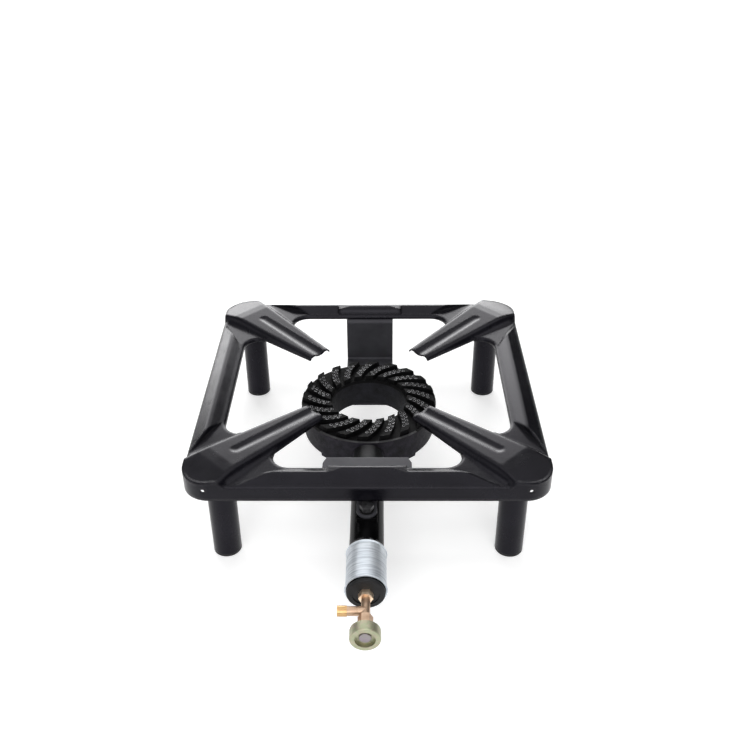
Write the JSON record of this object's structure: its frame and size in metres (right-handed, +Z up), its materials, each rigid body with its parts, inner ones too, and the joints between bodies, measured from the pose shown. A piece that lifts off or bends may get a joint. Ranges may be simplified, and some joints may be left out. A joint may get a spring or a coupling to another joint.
{
  "type": "gas stool burner",
  "caption": "Low square gas stool burner: pressed black frame with grooved pan arms on tube legs, swirl-ribbed cast ring burner, mixing tube with air sleeve, brass needle valve and round knob.",
  "frame": {"origin": "on the floor, under the middle of the square frame and the ring burner", "axes": "+X to the right of someone who faces the knob, +Y from the knob to the rear rail, +Z up"},
  "size_m": [0.4, 0.5613, 0.1317],
  "materials": {
    "frame_enamel": "semi-gloss black enamel on pressed steel",
    "leg_enamel": "semi-gloss black enamel on steel tube",
    "foot_cap": "satin black",
    "cast_iron": "rough black-painted casting",
    "tube_enamel": "gloss black enamel",
    "bare_sheet": "bright bare sheet",
    "brass": "turned brass",
    "zinc_fastener": "dull zinc plate",
    "plated_knob": "yellow-passivated plate",
    "needle_steel": "turned",
    "seal_rubber": "matte"
  },
  "bodies": {
    "stove": {"top_frame": "frame_enamel", "leg_front_left": "leg_enamel", "leg_front_right": "leg_enamel", "leg_rear_left": "leg_enamel", "leg_rear_right": "leg_enamel", "foot_cap_front_left": "foot_cap", "foot_cap_front_right": "foot_cap", "foot_cap_rear_left": "foot_cap", "foot_cap_rear_right": "foot_cap", "rear_strap": "frame_enamel", "strap_bolts": "zinc_fastener", "strap_washers": "zinc_fastener", "front_bracket": "frame_enamel", "bracket_bolt": "zinc_fastener", "bracket_washer": "zinc_fastener", "burner_body": "cast_iron", "burner_crown": "cast_iron", "crown_screws": "zinc_fastener", "mixing_tube": "tube_enamel", "mouth_cap": "tube_enamel", "lock_nut": "brass", "injector": "brass", "valve_body": "brass", "inlet_fitting": "brass", "gland_nut": "brass", "spindle_seal": "seal_rubber"},
    "sleeve": {"air_sleeve": "bare_sheet"},
    "needle": {"valve_needle": "needle_steel"},
    "handwheel": {"knob": "plated_knob", "knob_screw": "plated_knob", "spindle": "brass"}
  },
  "joints": [
    {"name": "air_slide", "type": "slide", "parent": "stove", "child": "sleeve", "axis": [0, 1, 0], "range_m": [0, 0.03]},
    {"name": "needle_lift", "type": "slide", "parent": "stove", "child": "needle", "axis": [0, -1, 0], "range_m": [0, 0.00151]},
    {"name": "knob_turn", "type": "hinge", "parent": "needle", "child": "handwheel", "pos_m": [0, -0.35, 0.074], "axis": [0, -1, 0], "range_deg": [0, 540]}
  ],
  "couplings": [
    {"joint": "needle_lift", "follows": "knob_turn", "m_per_rad": 0.00015915}
  ]
}
